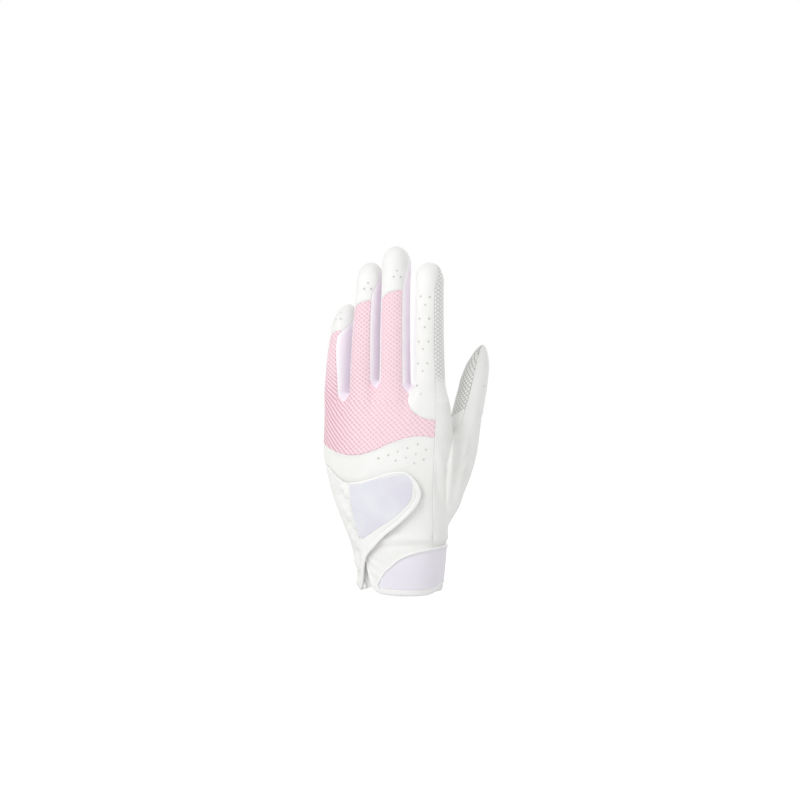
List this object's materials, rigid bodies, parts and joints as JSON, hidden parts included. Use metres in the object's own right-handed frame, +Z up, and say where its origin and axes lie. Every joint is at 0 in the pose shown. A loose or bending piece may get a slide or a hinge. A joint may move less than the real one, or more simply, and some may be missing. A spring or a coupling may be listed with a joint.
{
  "type": "golf glove",
  "caption": "Left-hand golf glove filled out as worn: pink mesh back, white leather panels, printed grip strips, bound closure tab and elastic cuff.",
  "frame": {"origin": "middle of the wrist opening, in the plane of the hem", "axes": "+Z up the fingers, +X to the thumb side, +Y out of the palm; the back of the hand faces -Y"},
  "size_m": [0.0943, 0.0621, 0.202],
  "materials": {
    "white_leather": "soft thin cabretta-like leather, faint creases, matt",
    "pink_mesh": "pale pink diamond-ribbed knit",
    "pearl_stretch": "smooth pale stretch fabric",
    "printed_grip": "white leather with a fine grey diamond grip print",
    "lavender_elastic": "satin-faced elastic",
    "pearl_satin": "pearl grey satin",
    "hook_and_loop": "napped hook-and-loop tape",
    "white_binding": "folded leather edge with a stitched line"
  },
  "bodies": {
    "hand": {"back_mesh": "pink_mesh", "index_knuckle_panel": "white_leather", "wrist_back_panel": "white_leather", "ulnar_wrist_panel": "white_leather", "radial_side_panel": "white_leather", "palm_leather": "white_leather", "thumb_gusset": "white_leather", "cuff_elastic": "lavender_elastic", "cuff_piping": "white_binding", "hem_binding": "white_binding", "palm_elastic": "lavender_elastic", "loop_patch": "hook_and_loop", "web_index_middle": "pearl_stretch", "web_middle_ring": "pearl_stretch", "web_ring_pinky": "pearl_stretch"},
    "tab": {"tab_shell": "white_leather", "tab_inset": "pearl_satin", "tab_binding": "white_binding", "hook_patch": "hook_and_loop"},
    "index": {"index_back": "white_leather", "index_palm": "white_leather", "index_grip_strip": "printed_grip", "index_fourchette": "pearl_stretch"},
    "middle": {"middle_back": "pink_mesh", "middle_cap": "white_leather", "middle_palm": "white_leather", "middle_thumb_side": "pearl_stretch", "middle_little_side": "pearl_stretch"},
    "ring": {"ring_back": "pink_mesh", "ring_cap": "white_leather", "ring_palm": "white_leather", "ring_thumb_side": "pearl_stretch", "ring_little_side": "pearl_stretch"},
    "pinky": {"pinky_back": "pink_mesh", "pinky_cap": "white_leather", "pinky_palm": "white_leather", "pinky_thumb_side": "pearl_stretch", "pinky_little_side": "pearl_stretch"},
    "thumb": {"thumb_back": "white_leather", "thumb_palm": "white_leather", "thumb_grip_strip": "printed_grip"}
  },
  "joints": [
    {"name": "tab_open", "type": "hinge", "parent": "hand", "child": "tab", "pos_m": [-0.03499, -0.00846, 0.03975], "axis": [0.3068, -0.0647, -0.9496], "range_deg": [0, 120]},
    {"name": "index_bend", "type": "hinge", "parent": "hand", "child": "index", "pos_m": [0.0169, 0.0112, 0.1218], "axis": [-1, 0, 0], "range_deg": [0, 75]},
    {"name": "middle_bend", "type": "hinge", "parent": "hand", "child": "middle", "pos_m": [-0.0033, 0.0103, 0.1218], "axis": [-1, 0, 0], "range_deg": [0, 75]},
    {"name": "ring_bend", "type": "hinge", "parent": "hand", "child": "ring", "pos_m": [-0.0228, 0.0115, 0.1218], "axis": [-1, 0, 0], "range_deg": [0, 75]},
    {"name": "pinky_bend", "type": "hinge", "parent": "hand", "child": "pinky", "pos_m": [-0.0411, 0.0135, 0.1148], "axis": [-1, 0, 0], "range_deg": [0, 75]},
    {"name": "thumb_bend", "type": "hinge", "parent": "hand", "child": "thumb", "pos_m": [0.0315, 0.0354, 0.0978], "axis": [-1, 0, 0], "range_deg": [0, 45]}
  ]
}
